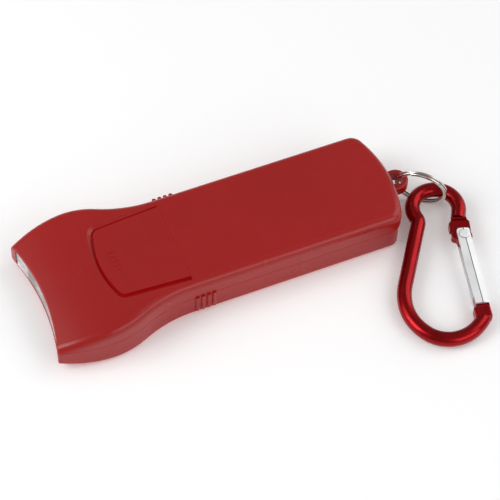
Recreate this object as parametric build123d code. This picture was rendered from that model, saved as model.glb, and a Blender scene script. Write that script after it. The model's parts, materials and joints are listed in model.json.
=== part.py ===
from build123d import *
from math import cos, radians, sin, sqrt
import os

# Flat keychain flashlight with a press tongue, three LEDs and two AAA cells.
# Millimetres. The beam leaves towards -X, +Z is up, the origin is on the flat underside.

# ---------------------------------------------------------------- housing
body_half_width = 16.0
body_height = 13.2
parting_z = 7.5
wall = 1.4
top_wall = 1.2
floor = 1.15
rear_x = 52.5
rear_radius = 38.3
rear_corner_radius = 4.0
front_mid_x = -50.6
front_corner_x = -53.3
front_corner_y = 19.0
head_half_width = 21.6
head_widest_x = -38.5
flare_end_x = -13.0
flare_blend = 0.412
slope_x = -30.0
slope_radius = 56.0
under_slope_x = -36.0
under_slope_radius = 75.0
rear_step = 0.45
rear_step_from = 30.0
seam_height = 0.14
seam_depth = 0.25
top_fillet = 2.3
bottom_fillet = 1.4
lip_fillet = 0.5
front_drop = front_mid_x - front_corner_x
front_radius = (front_corner_y**2 + front_drop**2) / (2 * front_drop)
front_centre_x = front_mid_x - front_radius

# light opening in the front wall
window_half_width = 16.6
window_low = 2.2
window_high = 8.0
window_fit = 0.08
lens_front = 0.1
lens_back = 1.0
reflector_front = 1.05

# grip ribs on both sides
rib_xs = [-12.0, -10.35, -8.7, -7.05]
rib_radius = 0.6
rib_top = 11.7

# press tongue and its slot
tongue_root_x = -12.5
tongue_root_half = 12.5
tongue_front_x = -33.9
tongue_corner_x = -31.6
tongue_corner_half = 11.3
tongue_corner_radius = 1.8
tongue_thickness = 1.6
tongue_axis_z = body_height - tongue_thickness / 2
root_clearance = 0.05
slot_width = 0.75
bevel_width = 1.25
bevel_depth = 0.5
skirt_wall = 0.9
ledge_top = 10.6
ledge_thickness = 0.6
ledge_reach = 0.9
ledge_stop = 3.0
mark_x = -30.6
mark_pitch = 1.5
mark_count = 5

# keyring lug
lug_x = 54.9
lug_radius = 3.5
lug_low = 4.9
lug_high = 8.3
lug_hole_radius = 2.0

# battery door
door_hinge_x = -0.2
door_hinge_z = 1.2
door_end_x = 48.2
door_half_width = 11.0
door_gap = 0.2
pin_radius = 0.75
pin_clearance = 0.06
pin_reach = 12.3
hinge_relief_top = 2.6

# battery bay
bay_wall_inner = 11.2
bay_wall_outer = 12.8
bay_wall_top = 10.5
bay_front = -1.2
bay_plate_x = 0.3
bay_rear_x = 49.3
bay_wall_end = 48.3
plate = 0.3
cell_radius = 5.25
cell_length = 44.5
cell_y = 5.45
cell_z = 6.6
nub_radius = 1.9
nub_length = 0.9
spring_gap = 4.2

# electronics
board_z = 2.7
board_thickness = 1.6
board_top = board_z + board_thickness
board_front_x = -38.0
board_rear_x = -12.5
board_half_width = 12.5
switch_x = -28.0
switch_size = 7.0
switch_top = 8.3
plunger_radius = 1.7
plunger_clearance = 0.06
plunger_low = 5.9
plunger_top = 9.6
led_pitch = 10.8
led_z = 5.3
led_radius = 2.5
led_back_x = -40.9
led_tip_x = -47.4
reflector_back_x = -42.0
reflector_step_x = -47.5
reflector_low = 2.3
reflector_high = 8.4
bowl_half_height = 2.45
lead_gap = 2.54
lead_size = 0.5

# screws
screw_places = [(-37.0, 17.2), (-37.0, -17.2), (-7.2, 11.6), (-7.2, -11.6)]
screw_radius = 1.0
screw_head_radius = 1.9
screw_seat_z = 2.4
pillar_radius = 2.8
boss_radius = 2.4

# split ring
ring_centre = (60.25, -5.15, 7.75)
ring_heading = -41.0
ring_tilt = 8.0
ring_radius = 7.1
ring_radial = 1.1
ring_axial = 1.4

# carabiner, drawn about the centre of its small bow
clip_centre = (62.6, -10.65)
clip_turn = -17.4
clip_rise = 3.5
clip_tilt = 1.85
rod_radius = 2.1
bow_radius = 6.55
bow_right_angle = -12.0
bow_tail = (5.8, -4.2)
neck_radius = 3.0
neck_centre = (-8.57, -4.22)
spine_top = (-5.71, -5.13)
spine_end = (-12.0, -24.77)
big_bow_points = [(-12.85, -31.0), (-7.9, -41.0), (-1.0, -43.1), (5.4, -40.2), (7.9, -37.2)]
tang_half = 1.2
rivet_place = (6.4, -10.6)
rivet_radius = 0.8
rivet_head_radius = 1.35
rivet_head_height = 0.5
gate_lean = 4.13
gate_half_width = 1.9
gate_half_height = 2.2
gate_wall = 0.75
gate_start = -2.1
gate_length = 22.8
gate_web_start = 2.75
gate_web_end = 19.9
crease_place = 0.1
crease_drop = 0.7
crease_cut = 0.26
nose_reach = 20.3
nose_inner = 2.7
nose_outer = 1.9
nose_end = 26.9
nose_block_start = 23.8
nose_block_half = 1.75
collar_half = 1.65
tang_end_radius = 2.35

os.makedirs("parts", exist_ok=True)


def mirrored(point):
    return (point[0], -point[1])


def solid_box(low, high):
    size = [b - a for a, b in zip(low, high)]
    middle = [(a + b) / 2 for a, b in zip(low, high)]
    return Pos(*middle) * Box(*size)


def rod_y(x, z, radius, y_low, y_high):
    return Pos(x, (y_low + y_high) / 2, z) * Rot(90, 0, 0) * Cylinder(radius, y_high - y_low)


def rod_x(y, z, radius, x_low, x_high):
    return Pos((x_low + x_high) / 2, y, z) * Rot(0, 90, 0) * Cylinder(radius, x_high - x_low)


def rod_z(x, y, radius, z_low, z_high):
    return Pos(x, y, (z_low + z_high) / 2) * Cylinder(radius, z_high - z_low)


def housing_outline():
    corner = (front_corner_x, front_corner_y)
    widest = (head_widest_x, head_half_width)
    waist = (flare_end_x, body_half_width)
    turn = tuple(a + flare_blend * (b - a) for a, b in zip(widest, waist))
    rear_drop = rear_radius - sqrt(rear_radius**2 - body_half_width**2)
    tail = (rear_x - rear_drop, body_half_width)
    side = [
        TangentArc(widest, corner, tangent=(-1, 0)),
        TangentArc(widest, turn, tangent=(1, 0)),
        TangentArc(waist, turn, tangent=(-1, 0)),
        Line(waist, tail),
    ]
    other_side = [
        TangentArc(mirrored(widest), mirrored(corner), tangent=(-1, 0)),
        TangentArc(mirrored(widest), mirrored(turn), tangent=(1, 0)),
        TangentArc(mirrored(waist), mirrored(turn), tangent=(-1, 0)),
        Line(mirrored(waist), mirrored(tail)),
    ]
    ends = [
        ThreePointArc(corner, (front_mid_x, 0), mirrored(corner)),
        ThreePointArc(tail, (rear_x, 0), mirrored(tail)),
    ]
    face = make_face(side + other_side + ends)
    rear_corners = [v for v in face.vertices() if v.X > 45]
    return fillet(rear_corners, rear_corner_radius)


def housing_block(inset, low, high, slope_inset, under_inset=0.0):
    plan = offset(housing_outline(), -inset) if inset else housing_outline()
    block = Pos(0, 0, low) * extrude(plan, high - low)
    above = solid_box((slope_x - 40, -40, -5), (slope_x, 40, 40))
    drum_z = body_height - slope_radius
    drum = rod_y(slope_x, drum_z, slope_radius - slope_inset, -50, 50)
    block = block - (above - drum)
    below = solid_box((under_slope_x - 40, -40, -5), (under_slope_x, 40, 40))
    under_drum = rod_y(under_slope_x, under_slope_radius, under_slope_radius - under_inset, -50, 50)
    return block - (below - under_drum)


def outer_form():
    block = housing_block(0, 0, body_height, 0)
    low_front = body_height - 5.7
    top_rim = [
        e for e in block.edges()
        if e.bounding_box().min.Z > low_front and (abs(e.center().Y) > 10 or e.center().X > 50)
    ]
    block = fillet(top_rim, top_fillet)
    bottom_rim = [
        e for e in block.edges()
        if e.bounding_box().max.Z < window_low and (abs(e.center().Y) > 10 or e.center().X > 50)
    ]
    block = fillet(bottom_rim, bottom_fillet)
    front_rims = [
        e for e in block.edges()
        if e.center().X < front_mid_x + 0.1 and abs(e.center().Y) < 1 and e.length > 25
    ]
    return fillet(front_rims, lip_fillet)


def tongue_outline():
    root = (tongue_root_x, tongue_root_half)
    corner = (tongue_corner_x, tongue_corner_half)
    edges = [
        Line(mirrored(root), root),
        Line(root, corner),
        ThreePointArc(corner, (tongue_front_x, 0), mirrored(corner)),
        Line(mirrored(corner), mirrored(root)),
    ]
    face = make_face(edges)
    front_corners = [v for v in face.vertices() if v.X < tongue_root_x - 5]
    return fillet(front_corners, tongue_corner_radius)


def ahead_of_root(low_z=0.0):
    return solid_box((-60, -30, low_z), (tongue_root_x, 30, 30))


def slot_cut():
    wide = offset(tongue_outline(), slot_width)
    cut = Pos(0, 0, parting_z) * extrude(wide, body_height)
    return cut & ahead_of_root()


def bevel_cut():
    inner = offset(tongue_outline(), slot_width)
    outer = offset(tongue_outline(), slot_width + bevel_width)
    low = Pos(0, 0, body_height - bevel_depth) * inner
    high = Pos(0, 0, body_height) * outer
    return loft([low.face(), high.face()]) & ahead_of_root()


def root_seat():
    radius = tongue_thickness / 2 + root_clearance
    reach = tongue_root_half + 0.3
    return rod_y(tongue_root_x, tongue_axis_z, radius, -reach, reach)


def slot_skirt():
    outer = offset(tongue_outline(), slot_width + skirt_wall)
    inner = offset(tongue_outline(), slot_width)
    top = body_height - top_wall + 0.2
    low = ledge_top - ledge_thickness
    ring = Pos(0, 0, low) * extrude(outer - inner, top - low)
    return ring & ahead_of_root()


def slot_ledge():
    outer = offset(tongue_outline(), slot_width + skirt_wall)
    inner = offset(tongue_outline(), -ledge_reach)
    ring = Pos(0, 0, ledge_top - ledge_thickness) * extrude(outer - inner, ledge_thickness)
    return ring & solid_box((-60, -30, 0), (tongue_root_x - ledge_stop, 30, 30))


def window_cut():
    low = (-60, -window_half_width, window_low)
    return solid_box(low, (front_mid_x + 2.0, window_half_width, window_high))


def grip_ribs():
    ribs = []
    for x in rib_xs:
        for y in (-body_half_width, body_half_width):
            post = rod_z(x, y, rib_radius, bottom_fillet + 0.3, rib_top)
            ribs.append(post)
    return ribs


def lug_form():
    plan = Pos(lug_x, 0) * Circle(lug_radius) + Pos(lug_x - 2.0, 0) * Rectangle(4.0, 2 * lug_radius)
    block = Pos(0, 0, lug_low) * extrude(plan, lug_high - lug_low)
    rims = [e for e in block.edges() if e.geom_type == GeomType.CIRCLE]
    return fillet(rims, 0.6)


def lug_hole():
    return rod_z(lug_x, 0, lug_hole_radius, 0, 12)


def upper_half():
    return solid_box((-60, -30, parting_z), (60, 30, 30))


def lower_half():
    return solid_box((-60, -30, -5), (60, 30, parting_z))


def cavity():
    return housing_block(wall, floor, body_height - top_wall, top_wall + 0.1, floor)


def screw_boss(x, y):
    return rod_z(x, y, boss_radius, parting_z, body_height - top_wall + 0.1)


def screw_pillar(x, y):
    return rod_z(x, y, pillar_radius, floor - 0.2, parting_z)


def screw_clearance(x, y):
    return rod_z(x, y, screw_head_radius + 0.3, -1, screw_seat_z)


def screw_shaft(x, y):
    return rod_z(x, y, screw_radius, screw_seat_z, 10.9)


def make_top_shell(outer):
    shell = (outer & upper_half()) - (cavity() & upper_half())
    for rib in grip_ribs():
        shell = shell + ((rib & upper_half()) - cavity())
    shell = shell + slot_skirt()
    for x, y in screw_places:
        shell = shell + screw_boss(x, y)
    shell = shell - slot_cut() - bevel_cut() - root_seat() - window_cut() - lug_form()
    shell = shell + slot_ledge()
    for x, y in screw_places:
        shell = shell - screw_shaft(x, y)
    return shell


def door_opening():
    low = (door_hinge_x - door_hinge_z - door_gap, -door_half_width - door_gap, -1)
    high = (door_end_x + door_gap, door_half_width + door_gap, floor + 0.3)
    return solid_box(low, high)


def hinge_holes():
    radius = pin_radius + pin_clearance
    return rod_y(door_hinge_x, door_hinge_z, radius, -pin_reach - 0.2, pin_reach + 0.2)


def bay_walls():
    walls = []
    base = floor - 0.2
    for side in (-1, 1):
        ys = sorted((side * bay_wall_inner, side * bay_wall_outer))
        walls.append(solid_box((bay_front, ys[0], base), (bay_wall_end, ys[1], bay_wall_top)))
    front = solid_box((bay_front, -bay_wall_outer, base), (bay_plate_x, bay_wall_outer, bay_wall_top))
    relief_low = (bay_front - 1, -bay_wall_inner, 0)
    front = front - solid_box(relief_low, (bay_plate_x + 1, bay_wall_inner, hinge_relief_top))
    stop_low = (bay_rear_x + plate, -6.5, base)
    rear = solid_box(stop_low, (rear_x - wall + 0.2, 6.5, bay_wall_top - 3))
    return walls + [front, rear]


def tab_slots():
    slots = []
    for y in (-cell_y, cell_y):
        low = (bay_front - 1, y - 1.25, 8.9)
        slots.append(solid_box(low, (bay_plate_x + 0.5, y + 1.25, bay_wall_top + 1)))
    return slots


def board_posts():
    posts = []
    for x in (board_front_x + 3.0, board_rear_x - 3.0):
        for y in (-board_half_width + 2.5, board_half_width - 2.5):
            posts.append(rod_z(x, y, 1.5, floor - 0.2, board_z))
    return posts


def rear_trim():
    plan = housing_outline()
    rear_end = Pos(rear_step_from + 30, 0) * Rectangle(60, 60)
    return Pos(0, 0, -1) * extrude(rear_end - Pos(-rear_step, 0) * plan, parting_z + 1)


def seam_groove():
    rim = housing_outline() - offset(housing_outline(), -seam_depth)
    return Pos(0, 0, parting_z - seam_height) * extrude(rim, 1)


def make_bottom_shell(outer):
    shell = (outer & lower_half()) - (cavity() & lower_half())
    shell = shell - rear_trim() - seam_groove()
    for rib in grip_ribs():
        shell = shell + ((rib & lower_half()) - cavity())
    for wall_piece in bay_walls():
        shell = shell + wall_piece
    for post in board_posts():
        shell = shell + post
    for x, y in screw_places:
        shell = shell + screw_pillar(x, y)
    shell = shell + (lug_form() - (cavity() & upper_half()))
    shell = shell - door_opening() - hinge_holes() - window_cut() - lug_hole()
    for slot in tab_slots():
        shell = shell - slot
    for x, y in screw_places:
        shell = shell - screw_clearance(x, y) - rod_z(x, y, screw_radius + 0.15, 0, parting_z + 1)
    return shell


def make_push_tongue():
    plate_z = body_height - tongue_thickness
    leaf = Pos(0, 0, plate_z) * extrude(tongue_outline(), tongue_thickness)
    half = tongue_root_half
    knuckle = rod_y(tongue_root_x, tongue_axis_z, tongue_thickness / 2, -half, half)
    post = rod_z(switch_x, 0, 2.0, plunger_top + 0.12, plate_z + 0.5)
    tongue = leaf + knuckle + post
    for y in (-6.0, 6.0):
        low = (-29.5, y - 0.5, plate_z - 0.6)
        tongue = tongue + solid_box(low, (tongue_root_x - 2.5, y + 0.5, plate_z + 0.3))
    for i in range(mark_count):
        y = (i - (mark_count - 1) / 2) * mark_pitch
        low = (mark_x, y - 0.35, body_height - 0.2)
        tongue = tongue + solid_box(low, (mark_x + 1.6, y + 0.35, body_height + 0.12))
    return tongue


def make_battery_door():
    panel = solid_box((door_hinge_x, -door_half_width, 0), (door_end_x, door_half_width, floor))
    edge = rod_y(door_hinge_x, door_hinge_z, door_hinge_z, -door_half_width, door_half_width)
    edge = edge & solid_box((-5, -20, 0), (door_hinge_x, 20, floor))
    door = panel + edge
    pins = rod_y(door_hinge_x, door_hinge_z, pin_radius, -pin_reach, pin_reach)
    pins = pins - solid_box((-5, -door_half_width + 0.8, floor), (10, door_half_width - 0.8, 5))
    door = door + pins
    door = door + solid_box((door_end_x - 1.1, -1.2, floor - 0.2), (door_end_x, 1.2, 3.1))
    door = door + solid_box((4, -0.5, floor - 0.2), (door_end_x - 4, 0.5, floor + 0.8))
    for i in range(4):
        x = door_end_x - 3.0 - 1.5 * i
        groove = rod_y(x, -0.15, 0.5, -5.5 + 0.8 * i, 5.5 - 0.8 * i)
        door = door - groove
    return door


def front_sector(near, far, half_width, low, high):
    ring = Pos(front_centre_x, 0) * (Circle(front_radius + far) - Circle(front_radius + near))
    strip = Pos(front_mid_x, 0) * Rectangle(20, 2 * half_width)
    return Pos(0, 0, low) * extrude(ring & strip, high - low)


def make_lens():
    half = window_half_width - window_fit
    low = window_low + window_fit
    high = window_high - window_fit
    return front_sector(lens_front, lens_back, half, low, high)


def make_reflector():
    half = window_half_width - window_fit
    low = window_low + window_fit
    high = window_high - window_fit
    block = front_sector(reflector_front, 14, half, low, high)
    block = block & solid_box((-60, -20, 0), (reflector_back_x, 20, 10))
    step_low = (reflector_step_x, -half, reflector_low)
    block = block + solid_box(step_low, (reflector_back_x, half, reflector_high))
    for i in (-1, 0, 1):
        y = i * led_pitch
        front_x = front_centre_x + sqrt((front_radius + reflector_front) ** 2 - y**2)
        depth = reflector_back_x + 1.0 - front_x
        bowl = Pos(front_x - 0.02 + depth / 2, y, led_z) * Rot(0, 90, 0) * Cone(5.2, 2.7, depth)
        slot_low = (-60, y - 6, led_z - bowl_half_height)
        block = block - (bowl & solid_box(slot_low, (-40, y + 6, led_z + bowl_half_height)))
        block = block - rod_x(y, led_z, led_radius + 0.15, reflector_step_x, -40)
    return block


def make_led(y):
    flange = rod_x(y, led_z, led_radius + 0.4, reflector_back_x + 0.1, led_back_x)
    barrel = rod_x(y, led_z, led_radius, led_tip_x + led_radius, led_back_x)
    dome = Pos(led_tip_x + led_radius, y, led_z) * Sphere(led_radius)
    return flange + barrel + dome


def make_led_leads():
    leads = []
    for i in (-1, 0, 1):
        for side in (-0.5, 0.5):
            y = i * led_pitch + side * lead_gap
            half = lead_size / 2
            low = (led_back_x, y - half, board_top)
            leads.append(solid_box(low, (board_front_x + 2.2, y + half, board_top + lead_size)))
    return Compound(children=leads)


def make_circuit_board():
    low = (board_front_x, -board_half_width, board_z)
    return solid_box(low, (board_rear_x, board_half_width, board_top))


def make_resistor():
    return solid_box((-22.0, -4.1, board_top), (-18.8, -2.5, board_top + 0.6))


def make_switch_body():
    half = switch_size / 2
    body = solid_box((switch_x - half, -half, board_top), (switch_x + half, half, switch_top))
    uprights = body.edges().filter_by(Axis.Z)
    body = fillet(uprights, 0.5)
    return body - rod_z(switch_x, 0, plunger_radius + plunger_clearance, 5.2, 12)


def make_switch_plunger():
    plunger = rod_z(switch_x, 0, plunger_radius, plunger_low, plunger_top)
    return chamfer(plunger.edges().sort_by(Axis.Z)[-1], 0.3)


def make_cell(y, nub_forward):
    front = bay_plate_x + plate + (0 if nub_forward else spring_gap)
    back = front + cell_length
    can_front = front + (nub_length if nub_forward else 0)
    can_back = back - (0 if nub_forward else nub_length)
    can = rod_x(y, cell_z, cell_radius, can_front, can_back)
    rims = [e for e in can.edges() if e.geom_type == GeomType.CIRCLE]
    can = fillet(rims, 0.4)
    nub = rod_x(y, cell_z, nub_radius, front, back)
    middle = rod_x(y, cell_z, nub_radius + 1, can_front + 1, can_back - 1)
    cap = nub - middle
    if nub_forward:
        keep = solid_box((front, -20, 0), (can_front + 1, 20, 20))
    else:
        keep = solid_box((can_back - 1, -20, 0), (back, 20, 20))
    return can + (cap & keep)


def make_front_contact(y):
    half = 4.6
    panel = solid_box((bay_plate_x, y - half, 2.7), (bay_plate_x + plate, y + half, 10.3))
    tab = solid_box((bay_front - 1.6, y - 1.0, 9.2), (bay_plate_x + plate, y + 1.0, 9.5))
    return panel + tab


def make_bridge_contact():
    reach = cell_y + 4.4
    return solid_box((bay_rear_x, -reach, 2.2), (bay_rear_x + plate, reach, 10.3))


def make_cell_spring(y, x_low, x_high, base_at_low):
    low_radius, high_radius = (3.6, 2.4) if base_at_low else (2.4, 3.6)
    length = x_high - x_low
    sleeve = Cone(low_radius, high_radius, length) - Cone(low_radius - 0.7, high_radius - 0.7, length)
    return Pos((x_low + x_high) / 2, y, cell_z) * Rot(0, 90, 0) * sleeve


def make_wire(y):
    radius = 0.45
    top = 9.5 + radius
    low = board_top + radius
    points = [(bay_front - 1.4, y, top), (bay_front - 4.4, y, top), (-9.8, y, low), (-13.4, y, low)]
    path = FilletPolyline(*points, radius=2.2)
    section = Plane(origin=path @ 0, z_dir=path % 0) * Circle(radius)
    return sweep(section, path=path)


def make_screws():
    screws = []
    for x, y in screw_places:
        head = rod_z(x, y, screw_head_radius, screw_seat_z - 1.3, screw_seat_z)
        low_rim = head.edges().filter_by(GeomType.CIRCLE).sort_by(Axis.Z)[0]
        head = fillet(low_rim, 0.5)
        screw = head + screw_shaft(x, y)
        for turn in (0, 90):
            cross = Pos(x, y, screw_seat_z - 1.3) * Rot(0, 0, turn) * Box(2.2, 0.45, 1.2)
            screw = screw - cross
        screws.append(screw)
    return Compound(children=screws)


def make_split_ring():
    section = Plane.XZ * Pos(ring_radius, 0) * RectangleRounded(ring_radial, ring_axial, 0.35)
    ring = revolve(section, Axis.Z, 360)
    return Pos(*ring_centre) * Rot(0, 0, ring_heading) * Rot(90 + ring_tilt, 0, 0) * ring


def clip_place():
    return Pos(clip_centre[0], clip_centre[1], clip_rise) * Rot(0, 0, clip_turn) * Rot(clip_tilt, 0, 0)


def gate_place():
    return clip_place() * Pos(rivet_place[0], rivet_place[1], 0) * Rot(0, 0, gate_lean)


def clip_rod():
    angle = radians(bow_right_angle)
    bow_start = (bow_radius * cos(angle), bow_radius * sin(angle))
    away = sqrt(neck_centre[0] ** 2 + neck_centre[1] ** 2)
    bow_end = tuple(bow_radius * c / away for c in neck_centre)
    edges = [
        Line(bow_tail, bow_start),
        ThreePointArc(bow_start, (0, bow_radius), bow_end),
        RadiusArc(bow_end, spine_top, neck_radius),
        Line(spine_top, spine_end),
    ]
    start = spine_end
    heading = edges[-1] % 1
    for point in big_bow_points:
        arc = TangentArc(start, point, tangent=(heading.X, heading.Y))
        edges.append(arc)
        start = point
        heading = arc % 1
    path = Wire(edges)
    section = Plane(origin=path @ 0, z_dir=path % 0) * Circle(rod_radius)
    return sweep(section, path=path)


def hinge_tang():
    corners = [(4.2, -3.2), (7.6, -3.2), (7.8, -4.7), (8.6, -5.8), (8.6, -8.2)]
    corners += [(2.8, -8.2), (2.7, -6.2), (3.8, -4.7)]
    shoulder = make_face(Polyline(*corners, close=True))
    arm = Pos(rivet_place[0] - 0.5, rivet_place[1] + 1.2) * Rectangle(2 * tang_end_radius + 0.6, 2.6)
    end = Pos(*rivet_place) * Circle(tang_end_radius)
    heel = Pos(4.1, -10.2) * Circle(1.1)
    blank = shoulder + arm + end + heel
    collar = solid_box((3.9, -5.1, -collar_half), (7.9, -4.5, collar_half))
    return Pos(0, 0, -tang_half) * extrude(blank, 2 * tang_half) + collar


def nose_tang():
    blank = Pos(0, -nose_end / 2) * Rectangle(2 * gate_half_width, nose_end)
    limit = Circle(nose_end) - Circle(nose_reach)
    leaf = Pos(0, 0, -tang_half) * extrude(blank & limit, 2 * tang_half)
    low = (-nose_inner, -nose_end, -nose_block_half)
    block = solid_box(low, (nose_outer, -nose_block_start, nose_block_half))
    block = fillet(block.edges().filter_by(Axis.Y), 0.5)
    return Pos(rivet_place[0], rivet_place[1], 0) * Rot(0, 0, gate_lean) * (leaf + block)


def make_carabiner_body():
    body = clip_rod() + hinge_tang() + nose_tang()
    return clip_place() * (body - rod_z(rivet_place[0], rivet_place[1], rivet_radius, -5, 5))


def gate_profile():
    low = gate_half_height - crease_drop
    groove = crease_cut / 2
    upper = [
        (-gate_half_width, gate_half_height),
        (crease_place - groove, gate_half_height),
        (crease_place, gate_half_height - crease_cut),
        (crease_place + groove, gate_half_height),
        (gate_half_width - 0.5, low + 0.35),
        (gate_half_width, low),
    ]
    lower = [(x, -z) for x, z in reversed(upper)]
    return make_face(Polyline(*upper, *lower, close=True))


def make_carabiner_gate():
    section = Plane.XZ * gate_profile()
    channel = Pos(0, -gate_start, 0) * extrude(section, gate_length - gate_start)
    inner_half = gate_half_height - gate_wall
    hollow = solid_box((-5, -60, -inner_half), (gate_half_width - gate_wall, 5, inner_half))
    channel = channel - hollow
    channel = channel - solid_box((-5, -gate_web_start, -inner_half), (5, 10, inner_half))
    channel = channel - solid_box((-5, -60, -inner_half), (5, -gate_web_end, inner_half))
    ends = [e for e in channel.edges().filter_by(Axis.Z) if e.center().Y > -gate_start - 0.1]
    channel = fillet([e for e in ends if e.center().X < 0], 0.9)
    return gate_place() * (channel - rod_z(0, 0, rivet_radius + 0.06, -5, 5))


def make_gate_rivet():
    head_low = gate_half_height + 0.08
    rivet = rod_z(0, 0, rivet_radius, -head_low, head_low)
    for side in (-1, 1):
        zs = sorted((side * head_low, side * (head_low + rivet_head_height)))
        head = rod_z(0, 0, rivet_head_radius, zs[0], zs[1])
        rim = [e for e in head.edges().filter_by(GeomType.CIRCLE) if abs(e.center().Z) > head_low + 0.1]
        rivet = rivet + fillet(rim, 0.4)
    return gate_place() * rivet


def make_gate_spring():
    wire = 0.3
    points = [(-1.0, -3.0, 0), (-1.0, -4.6, 0), (0.6, -9.0, 0), (0.6, -14.0, 0)]
    path = FilletPolyline(*points, radius=1.2)
    section = Plane(origin=path @ 0, z_dir=path % 0) * Circle(wire)
    return gate_place() * sweep(section, path=path)


def save(name, shape):
    export_step(shape, "parts/" + name + ".step")


outer = outer_form()
save("top_shell", make_top_shell(outer))
save("bottom_shell", make_bottom_shell(outer))
save("push_tongue", make_push_tongue())
save("battery_door", make_battery_door())
save("lens", make_lens())
save("reflector", make_reflector())
save("led_left", make_led(-led_pitch))
save("led_centre", make_led(0))
save("led_right", make_led(led_pitch))
save("led_leads", make_led_leads())
save("circuit_board", make_circuit_board())
save("current_resistor", make_resistor())
save("switch_body", make_switch_body())
save("switch_plunger", make_switch_plunger())
save("aaa_cell_left", make_cell(-cell_y, True))
save("aaa_cell_right", make_cell(cell_y, False))
save("positive_contact", make_front_contact(-cell_y))
save("negative_contact", make_front_contact(cell_y))
save("bridge_contact", make_bridge_contact())
front_face = bay_plate_x + plate
save("negative_spring", make_cell_spring(cell_y, front_face, front_face + spring_gap, True))
save("bridge_spring", make_cell_spring(-cell_y, bay_rear_x - spring_gap, bay_rear_x, False))
save("supply_wire", make_wire(-cell_y))
save("return_wire", make_wire(cell_y))
save("housing_screws", make_screws())
save("split_ring", make_split_ring())
save("carabiner_body", make_carabiner_body())
save("carabiner_gate", make_carabiner_gate())
save("gate_rivet", make_gate_rivet())
save("gate_spring", make_gate_spring())
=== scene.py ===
import json
import math
import bpy
from mathutils import Matrix, Vector


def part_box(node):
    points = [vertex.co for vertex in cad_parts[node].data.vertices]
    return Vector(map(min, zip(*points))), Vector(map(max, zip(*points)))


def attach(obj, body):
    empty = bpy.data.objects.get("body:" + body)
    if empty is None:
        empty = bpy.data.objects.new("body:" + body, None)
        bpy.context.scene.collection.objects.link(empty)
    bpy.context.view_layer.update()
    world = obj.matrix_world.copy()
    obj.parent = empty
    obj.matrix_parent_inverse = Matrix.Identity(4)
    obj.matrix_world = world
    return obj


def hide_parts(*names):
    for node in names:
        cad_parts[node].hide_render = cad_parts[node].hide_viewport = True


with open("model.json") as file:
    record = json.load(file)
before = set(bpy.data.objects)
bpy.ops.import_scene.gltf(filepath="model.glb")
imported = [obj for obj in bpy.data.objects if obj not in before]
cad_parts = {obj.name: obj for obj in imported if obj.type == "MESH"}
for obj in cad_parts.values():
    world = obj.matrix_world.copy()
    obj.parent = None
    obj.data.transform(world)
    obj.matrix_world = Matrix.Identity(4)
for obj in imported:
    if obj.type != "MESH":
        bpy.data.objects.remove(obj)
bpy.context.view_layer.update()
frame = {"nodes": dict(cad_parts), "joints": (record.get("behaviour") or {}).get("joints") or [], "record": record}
record = frame["record"]

MM = 0.001
BLACK = (0, 0, 0)

# camera: angles in degrees, lens and sensor in millimetres, the rest in metres
CAMERA_AZIMUTH = -24.817
CAMERA_ELEVATION = 54.242
CAMERA_ROLL = 2.242
CAMERA_LENS = 157.07
CAMERA_DISTANCE = 0.60126
CAMERA_TARGET = (0.007642, -0.006146, 0.0064)
SENSOR_WIDTH = 36.0
CLIP_START = 0.01
CLIP_END = 20.0

# stage: each light has a name, a place, a size in metres and a power in watts
TABLE_HALF = 6.0
TABLE_DROP = 0.00002
TABLE_GLOW = 0.12
WORLD_STRENGTH = 0.36
AREA_LIGHTS = (
    ("left_box", (-1.1, 0.3, 0.8), (1.2, 1.4), 5.5),
    ("head_box", (-0.42, 0.05, 0.34), (0.3, 0.3), 0.9),
    ("right_box", (1.15, 0.05, 0.85), (1.0, 1.4), 6.5),
    ("near_box", (0.55, -1.1, 0.75), (1.2, 0.9), 5.5),
)

# split ring coil: two turns side by side that cross over, the crossover given in turns;
# the half width and half depth are those of the CAD ring it replaces
RING_TURNS = 2.0
RING_WIRE_RADIAL = 1.0 * MM
RING_WIRE_AXIAL = 0.54 * MM
RING_WIRE_CORNER = 0.28 * MM
RING_PITCH = 0.84 * MM
RING_STEPS = 160
RING_START = 115.0
RING_HALF_WIDTH = 0.7 * MM
RING_HALF_DEPTH = 0.55 * MM
CROSSOVER_START = 0.93
CROSSOVER_LENGTH = 0.14

# coil springs: they taper, and the narrow end is a share of the wide one
COIL_TURNS = 5.0
COIL_WIRE_RADIUS = 0.26 * MM
COIL_CORNER = COIL_WIRE_RADIUS * 0.99
COIL_NARROW_SHARE = 0.67
COIL_STEPS = 200

CORNER_STEPS = 4
SMOOTH_ANGLE = 40

# the painted shade in the reflector's bowls and the gate's creases, and the painted glow in the red gaps
SHADE_SAMPLES = 8
BOWL_SHADE_REACH = 4.0 * MM
CREASE_SHADE_REACH = 0.6 * MM
GAP_GLOW_REACH = 2.0 * MM
GAP_GLOW = (0.21, 0.001, 0.001)

PLASTIC_IOR = 1.53
ACRYLIC_IOR = 1.49


# ------------------------------------------------------------ shader helpers
def new_material(name):
    material = bpy.data.materials.new(name)
    material.use_nodes = True
    nodes = material.node_tree.nodes
    nodes.clear()
    output = nodes.new("ShaderNodeOutputMaterial")
    shader = nodes.new("ShaderNodeBsdfPrincipled")
    material.node_tree.links.new(shader.outputs["BSDF"], output.inputs["Surface"])
    return material, shader


def link(material, source, target):
    material.node_tree.links.new(source, target)


def object_place(material):
    place = material.node_tree.nodes.new("ShaderNodeTexCoord")
    return place.outputs["Object"]


def noise(material, vector, scale, detail, roughness):
    node = material.node_tree.nodes.new("ShaderNodeTexNoise")
    node.inputs["Scale"].default_value = scale
    node.inputs["Detail"].default_value = detail
    node.inputs["Roughness"].default_value = roughness
    link(material, vector, node.inputs["Vector"])
    return node.outputs["Fac"]


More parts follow.
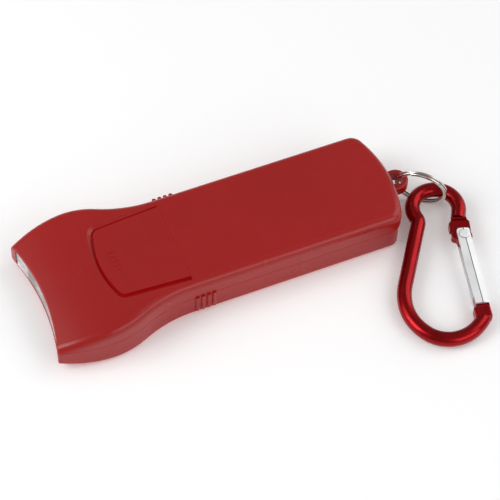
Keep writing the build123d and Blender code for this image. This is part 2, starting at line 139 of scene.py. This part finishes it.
def ramp(material, value, stops, interpolation="LINEAR"):
    node = material.node_tree.nodes.new("ShaderNodeValToRGB")
    node.color_ramp.interpolation = interpolation
    elements = node.color_ramp.elements
    while len(elements) < len(stops):
        elements.new(0.5)
    for element, (position, colour) in zip(elements, stops):
        element.position = position
        element.color = (*colour, 1.0)
    link(material, value, node.inputs["Fac"])
    return node.outputs["Color"]


def spread(material, value, low, high, from_low=0.3, from_high=0.7):
    node = material.node_tree.nodes.new("ShaderNodeMapRange")
    node.inputs["From Min"].default_value = from_low
    node.inputs["From Max"].default_value = from_high
    node.inputs["To Min"].default_value = low
    node.inputs["To Max"].default_value = high
    link(material, value, node.inputs["Value"])
    return node.outputs["Result"]


def bump(material, shader, height, distance):
    node = material.node_tree.nodes.new("ShaderNodeBump")
    node.inputs["Distance"].default_value = distance
    node.inputs["Strength"].default_value = 1.0
    link(material, height, node.inputs["Height"])
    link(material, node.outputs["Normal"], shader.inputs["Normal"])


def openness(material, reach, own_mesh_only=False):
    """1 on open surfaces, falling to 0 in hollows and gaps narrower than reach."""
    node = material.node_tree.nodes.new("ShaderNodeAmbientOcclusion")
    node.only_local = own_mesh_only
    node.samples = SHADE_SAMPLES
    node.inputs["Distance"].default_value = reach
    return node.outputs["AO"]


def scaled(colour, factor):
    return tuple(min(1.0, c * factor) for c in colour)


# ------------------------------------------------------------ materials
def add_gap_glow(material, shader, glow):
    """Painted glow: emission in narrow gaps of the red moulding stands in for light soaking through the thin
    walls, so a gap reads deep red.
    """
    painted_gap_glow = ramp(material, openness(material, GAP_GLOW_REACH), [(0.1, glow), (0.6, BLACK)])
    link(material, painted_gap_glow, shader.inputs["Emission Color"])
    shader.inputs["Emission Strength"].default_value = 1.0


def moulded_plastic(name, colour, roughness, grain_depth, gap_glow=None):
    material, shader = new_material(name)
    place = object_place(material)
    cloud = noise(material, place, scale=22.0, detail=3.0, roughness=0.5)
    tint = ramp(material, cloud, [(0.15, scaled(colour, 0.9)), (0.85, scaled(colour, 1.1))])
    link(material, tint, shader.inputs["Base Color"])
    smear = noise(material, place, scale=70.0, detail=4.0, roughness=0.6)
    smeared = spread(material, smear, roughness - 0.05, roughness + 0.07, 0.1, 0.9)
    link(material, smeared, shader.inputs["Roughness"])
    fine = noise(material, place, scale=2600.0, detail=2.0, roughness=0.5)
    bump(material, shader, fine, grain_depth)
    shader.inputs["IOR"].default_value = PLASTIC_IOR
    shader.inputs["Specular IOR Level"].default_value = 0.36
    shader.inputs["Subsurface Weight"].default_value = 0.3
    shader.inputs["Subsurface Radius"].default_value = (1.0, 0.1, 0.08)
    shader.inputs["Subsurface Scale"].default_value = 1.0 * MM
    # painted glow: emission in the moulding's narrow gaps, not a lamp
    if gap_glow:
        add_gap_glow(material, shader, gap_glow)
    return material


def bare_metal(name, roughness, grain_scale, grain_depth, metallic):
    """A metal with everything but its colour. Also returns its shader and its grain."""
    material, shader = new_material(name)
    shader.inputs["Metallic"].default_value = metallic
    place = object_place(material)
    grain = noise(material, place, grain_scale, detail=5.0, roughness=0.7)
    wide = noise(material, place, scale=120.0, detail=4.0, roughness=0.6)
    worn = spread(material, wide, roughness * 0.7, roughness * 1.5)
    link(material, worn, shader.inputs["Roughness"])
    bump(material, shader, grain, grain_depth)
    return material, shader, grain


def metal(name, colour, roughness, grain_scale, grain_depth, contrast=0.15):
    material, shader, grain = bare_metal(name, roughness, grain_scale, grain_depth, metallic=1.0)
    stops = [(0.25, scaled(colour, 1 - contrast)), (0.75, scaled(colour, 1 + contrast))]
    link(material, ramp(material, grain, stops), shader.inputs["Base Color"])
    return material


def metal_with_painted_shade(name, colour, painted_shade_colour, roughness, reach, own_mesh_only, metallic):
    """Bright metal with painted shade: its base colour darkens in its hollows and creases, as far as reach."""
    material, shader, _ = bare_metal(
        name, roughness, grain_scale=700.0, grain_depth=0.000008, metallic=metallic
    )
    depth = openness(material, reach, own_mesh_only)
    # painted shade: the base colour turns dark where occlusion finds a hollow or crease
    tint = ramp(material, depth, [(0.4, painted_shade_colour), (0.85, colour)])
    link(material, tint, shader.inputs["Base Color"])
    return material


def anodised(name, colour, roughness):
    material, shader = new_material(name)
    shader.inputs["Metallic"].default_value = 1.0
    place = object_place(material)
    cloud = noise(material, place, scale=90.0, detail=4.0, roughness=0.6)
    tint = ramp(material, cloud, [(0.3, scaled(colour, 0.85)), (0.7, scaled(colour, 1.15))])
    link(material, tint, shader.inputs["Base Color"])
    smear = noise(material, place, scale=240.0, detail=4.0, roughness=0.6)
    smeared = spread(material, smear, roughness * 0.7, roughness * 1.4)
    link(material, smeared, shader.inputs["Roughness"])
    fine = noise(material, place, scale=3000.0, detail=2.0, roughness=0.5)
    bump(material, shader, fine, 0.000004)
    shader.inputs["Coat Weight"].default_value = 0.2
    shader.inputs["Coat Roughness"].default_value = 0.1
    return material


def clear_plastic(name, colour, roughness):
    material, shader = new_material(name)
    place = object_place(material)
    shader.inputs["Transmission Weight"].default_value = 1.0
    shader.inputs["IOR"].default_value = ACRYLIC_IOR
    haze = noise(material, place, scale=300.0, detail=4.0, roughness=0.6)
    hazed = spread(material, haze, roughness * 0.4, roughness * 2.0)
    link(material, hazed, shader.inputs["Roughness"])
    tint = ramp(material, haze, [(0.3, scaled(colour, 0.97)), (0.7, colour)])
    link(material, tint, shader.inputs["Base Color"])
    ripple = noise(material, place, scale=500.0, detail=2.0, roughness=0.5)
    bump(material, shader, ripple, 0.000006)
    return material


def circuit_board(name):
    material, shader = new_material(name)
    place = object_place(material)
    weave = noise(material, place, scale=900.0, detail=3.0, roughness=0.5)
    tracks = material.node_tree.nodes.new("ShaderNodeTexVoronoi")
    tracks.inputs["Scale"].default_value = 260.0
    tracks.distance = "MANHATTAN"
    link(material, place, tracks.inputs["Vector"])
    stops = [(0.25, (0.02, 0.17, 0.07)), (0.45, (0.03, 0.25, 0.1))]
    link(material, ramp(material, tracks.outputs["Distance"], stops), shader.inputs["Base Color"])
    link(material, spread(material, weave, 0.3, 0.5), shader.inputs["Roughness"])
    bump(material, shader, tracks.outputs["Distance"], 0.00004)
    return material


def cell_jacket(name, x_low, x_high, nub_forward):
    """A printed jacket: a dark body, a pale band at the positive end and a bare steel end."""
    material, shader = new_material(name)
    place = object_place(material)
    split = material.node_tree.nodes.new("ShaderNodeSeparateXYZ")
    link(material, place, split.inputs["Vector"])
    along = spread(material, split.outputs["X"], 0.0, 1.0, x_low, x_high)
    steel, band, body = (0.62, 0.62, 0.63), (0.75, 0.36, 0.1), (0.03, 0.06, 0.14)
    stops = [(0.0, steel), (0.035, band), (0.3, body), (0.97, steel)]
    if not nub_forward:
        stops = [(0.0, steel), (0.03, body), (0.7, band), (0.965, steel)]
    link(material, ramp(material, along, stops, "CONSTANT"), shader.inputs["Base Color"])
    scuff = noise(material, place, scale=350.0, detail=5.0, roughness=0.65)
    link(material, spread(material, scuff, 0.18, 0.36), shader.inputs["Roughness"])
    shader.inputs["Metallic"].default_value = 0.6
    bump(material, shader, scuff, 0.00001)
    return material


def table_top(name):
    material, shader = new_material(name)
    place = object_place(material)
    paper = noise(material, place, scale=900.0, detail=4.0, roughness=0.6)
    wide = noise(material, place, scale=3.0, detail=2.0, roughness=0.5)
    tint = ramp(material, wide, [(0.3, (0.95, 0.95, 0.95)), (0.7, (0.965, 0.965, 0.965))])
    link(material, tint, shader.inputs["Base Color"])
    shader.inputs["Emission Color"].default_value = (1.0, 1.0, 1.0, 1.0)
    shader.inputs["Emission Strength"].default_value = TABLE_GLOW
    link(material, spread(material, paper, 0.55, 0.7), shader.inputs["Roughness"])
    bump(material, shader, paper, 0.00001)
    return material


def make_materials():
    """One material for each slot of the record, except the cells' printed jackets."""
    return {
        "red_shell": moulded_plastic(
            "red_shell", (0.355, 0.0095, 0.0085), roughness=0.24, grain_depth=0.000003, gap_glow=GAP_GLOW
        ),
        "red_door": moulded_plastic(
            "red_door", (0.35, 0.0095, 0.0085), roughness=0.27, grain_depth=0.000003, gap_glow=GAP_GLOW
        ),
        "clear_lens": clear_plastic("clear_lens", (0.97, 0.985, 0.99), roughness=0.03),
        # painted shade in the reflector's bowls
        "reflector_chrome": metal_with_painted_shade(
            "reflector_chrome", (0.9, 0.9, 0.91), painted_shade_colour=(0.1, 0.09, 0.09), roughness=0.12,
            reach=BOWL_SHADE_REACH, own_mesh_only=True, metallic=1.0
        ),
        "led_epoxy": clear_plastic("led_epoxy", (0.96, 0.98, 1.0), roughness=0.02),
        "tinned_lead": metal(
            "tinned_lead", (0.66, 0.66, 0.65), roughness=0.3, grain_scale=900.0, grain_depth=0.00001
        ),
        "board_green": circuit_board("board_green"),
        "black_component": moulded_plastic(
            "black_component", (0.02, 0.02, 0.022), roughness=0.45, grain_depth=0.00001
        ),
        "switch_white": moulded_plastic(
            "switch_white", (0.7, 0.69, 0.64), roughness=0.45, grain_depth=0.00001
        ),
        "spring_steel": metal(
            "spring_steel", (0.62, 0.62, 0.63), roughness=0.22, grain_scale=1200.0, grain_depth=0.000006
        ),
        "wire_red": moulded_plastic(
            "wire_red", (0.45, 0.02, 0.02), roughness=0.45, grain_depth=0.00001
        ),
        "wire_black": moulded_plastic(
            "wire_black", (0.015, 0.015, 0.017), roughness=0.45, grain_depth=0.00001
        ),
        "zinc_screw": metal(
            "zinc_screw", (0.58, 0.58, 0.6), roughness=0.25, grain_scale=1500.0, grain_depth=0.00001
        ),
        "ring_nickel": metal(
            "ring_nickel", (0.66, 0.64, 0.60), roughness=0.14, grain_scale=1500.0,
            grain_depth=0.000006, contrast=0.12
        ),
        "anodised_red": anodised("anodised_red", (0.33, 0.004, 0.007), roughness=0.28),
        # painted shade along the gate's creases and where other parts come close
        "gate_aluminium": metal_with_painted_shade(
            "gate_aluminium", (0.94, 0.945, 0.95), painted_shade_colour=(0.16, 0.1, 0.1), roughness=0.45,
            reach=CREASE_SHADE_REACH, own_mesh_only=False, metallic=0.55
        ),
    }


def dress(obj, material):
    obj.data.materials.clear()
    obj.data.materials.append(material)


def smooth_by_angle(obj, degrees):
    for polygon in obj.data.polygons:
        polygon.use_smooth = True
    bpy.context.view_layer.objects.active = obj
    obj.select_set(True)
    bpy.ops.object.shade_smooth_by_angle(angle=math.radians(degrees))
    obj.select_set(False)


# ------------------------------------------------------------ meshes
def mesh_object(name, vertices, faces):
    mesh = bpy.data.meshes.new(name)
    mesh.from_pydata([tuple(v) for v in vertices], [], faces)
    mesh.validate()
    mesh.update()
    obj = bpy.data.objects.new(name, mesh)
    bpy.context.scene.collection.objects.link(obj)
    return obj


def rounded_section(half_a, half_b, corner):
    """The outline of a rectangle with round corners, given by its half sizes."""
    points = []
    for quarter in range(4):
        sign_a = (1, -1, -1, 1)[quarter]
        sign_b = (1, 1, -1, -1)[quarter]
        for i in range(CORNER_STEPS):
            angle = math.pi / 2 * (quarter + i / (CORNER_STEPS - 1))
            a = sign_a * (half_a - corner) + corner * math.cos(angle)
            b = sign_b * (half_b - corner) + corner * math.sin(angle)
            points.append((a, b))
    return points


def tube_along(name, centres, first_axes, second_axes, section):
    """A tube of one cross-section, turned to its own two axes at each centre, with flat ends."""
    vertices = []
    for centre, a_axis, b_axis in zip(centres, first_axes, second_axes):
        for a, b in section:
            vertices.append(centre + a_axis * a + b_axis * b)
    count = len(section)
    faces = []
    for i in range(len(centres) - 1):
        for j in range(count):
            k = (j + 1) % count
            near, far = i * count, (i + 1) * count
            faces.append((near + j, near + k, far + k, far + j))
    faces.append(tuple(reversed(range(count))))
    last = (len(centres) - 1) * count
    faces.append(tuple(last + j for j in range(count)))
    obj = mesh_object(name, vertices, faces)
    smooth_by_angle(obj, SMOOTH_ANGLE)
    return obj


def ring_axes():
    """Centre, in-plane directions, normal and outer radius of the split ring.

    All of them come from its CAD box and from the joint that turns about its axis.
    """
    low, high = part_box("split_ring")
    centre = (low + high) / 2
    swing = next(j for j in frame["joints"] if j["name"] == "carabiner_swing")
    normal = Vector(swing["axis"]).normalized()
    outward = Vector((0, 0, 1)).cross(normal).normalized()
    rise = normal.cross(outward)
    outer = ((high.z - low.z) / 2 - RING_HALF_WIDTH * abs(normal.z)) / abs(rise.z)
    return centre, outward, rise, normal, outer


def split_ring_coil():
    centre, outward, rise, normal, outer = ring_axes()
    radius = outer - RING_HALF_DEPTH
    section = rounded_section(RING_WIRE_RADIAL / 2, RING_WIRE_AXIAL / 2, RING_WIRE_CORNER)
    start = math.radians(RING_START)
    centres, radials, normals = [], [], []
    for i in range(RING_STEPS + 1):
        share = i / RING_STEPS
        angle = start + 2 * math.pi * RING_TURNS * share
        direction = outward * math.cos(angle) + rise * math.sin(angle)
        turn = share * RING_TURNS
        cross = min(1.0, max(0.0, (turn - CROSSOVER_START) / CROSSOVER_LENGTH))
        cross = cross * cross * (3 - 2 * cross)
        side = RING_PITCH * (cross - 0.5)
        centres.append(centre + direction * radius + normal * side)
        radials.append(direction)
        normals.append(normal)
    coil = tube_along("ring_coil", centres, radials, normals, section)
    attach(coil, "ring")
    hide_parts("split_ring")
    return coil


def coil_spring(name, node, wide_at_low):
    low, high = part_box(node)
    axis_y = (low.y + high.y) / 2
    axis_z = (low.z + high.z) / 2
    wide = (high.y - low.y) / 2 - COIL_WIRE_RADIUS
    narrow = wide * COIL_NARROW_SHARE
    section = rounded_section(COIL_WIRE_RADIUS, COIL_WIRE_RADIUS, COIL_CORNER)
    centres, first, second = [], [], []
    for i in range(COIL_STEPS + 1):
        share = i / COIL_STEPS
        angle = 2 * math.pi * COIL_TURNS * share
        taper = share if wide_at_low else 1 - share
        radius = wide + (narrow - wide) * taper
        direction = Vector((0, math.cos(angle), math.sin(angle)))
        x = low.x + COIL_WIRE_RADIUS + (high.x - low.x - 2 * COIL_WIRE_RADIUS) * share
        centres.append(Vector((x, axis_y, axis_z)) + direction * radius)
        first.append(direction)
        second.append(Vector((1, 0, 0)))
    coil = tube_along(name, centres, first, second, section)
    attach(coil, "housing")
    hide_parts(node)
    return coil


# ------------------------------------------------------------ stage
def add_area(name, place, target, size, energy):
    data = bpy.data.lights.new(name, "AREA")
    data.shape = "RECTANGLE"
    data.size, data.size_y = size
    data.energy = energy
    lamp = bpy.data.objects.new(name, data)
    bpy.context.scene.collection.objects.link(lamp)
    lamp.location = place
    lamp.rotation_mode = "QUATERNION"
    lamp.rotation_quaternion = (Vector(target) - Vector(place)).to_track_quat("-Z", "Y")


def build_stage():
    half = TABLE_HALF
    corners = [(-half, -half, 0), (half, -half, 0), (half, half, 0), (-half, half, 0)]
    floor = mesh_object("table", corners, [(0, 1, 2, 3)])
    floor.location.z = -TABLE_DROP
    dress(floor, table_top("table_paper"))
    world = bpy.data.worlds.new("studio")
    bpy.context.scene.world = world
    world.use_nodes = True
    background = world.node_tree.nodes["Background"]
    background.inputs["Color"].default_value = (1, 1, 1, 1)
    background.inputs["Strength"].default_value = WORLD_STRENGTH
    target = (0.0, 0.0, 0.0)
    for name, place, size, energy in AREA_LIGHTS:
        add_area(name, place, target, size, energy)
    view = bpy.context.scene.view_settings
    view.view_transform = "Standard"
    view.look = "None"
    view.exposure = 0.0


def place_camera():
    azimuth = math.radians(CAMERA_AZIMUTH)
    elevation = math.radians(CAMERA_ELEVATION)
    roll = math.radians(CAMERA_ROLL)
    flat = math.cos(elevation)
    back = Vector((math.sin(azimuth) * flat, -math.cos(azimuth) * flat, math.sin(elevation)))
    right = Vector((math.cos(azimuth), math.sin(azimuth), 0))
    up = back.cross(right)
    turned_right = right * math.cos(roll) + up * math.sin(roll)
    turned_up = up * math.cos(roll) - right * math.sin(roll)
    data = bpy.data.cameras.new("camera")
    data.lens = CAMERA_LENS
    data.sensor_width = SENSOR_WIDTH
    data.clip_start = CLIP_START
    data.clip_end = CLIP_END
    camera = bpy.data.objects.new("camera", data)
    bpy.context.scene.collection.objects.link(camera)
    turn = Matrix((turned_right, turned_up, back)).transposed()
    camera.rotation_mode = "QUATERNION"
    camera.rotation_quaternion = turn.to_quaternion()
    camera.location = Vector(CAMERA_TARGET) + back * CAMERA_DISTANCE
    bpy.context.scene.camera = camera


# ------------------------------------------------------------ build
materials = make_materials()
slots = {row["node"]: row["material_slot"] for row in record["subparts"]}
for node, obj in frame["nodes"].items():
    slot = slots[node]
    if slot in materials:
        dress(obj, materials[slot])
for node, nub_forward in (("aaa_cell_left", True), ("aaa_cell_right", False)):
    low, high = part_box(node)
    dress(frame["nodes"][node], cell_jacket(node + "_jacket", low.x, high.x, nub_forward))

dress(split_ring_coil(), materials["ring_nickel"])
dress(coil_spring("front_coil", "negative_spring", True), materials["spring_steel"])
dress(coil_spring("rear_coil", "bridge_spring", False), materials["spring_steel"])

build_stage()
place_camera()
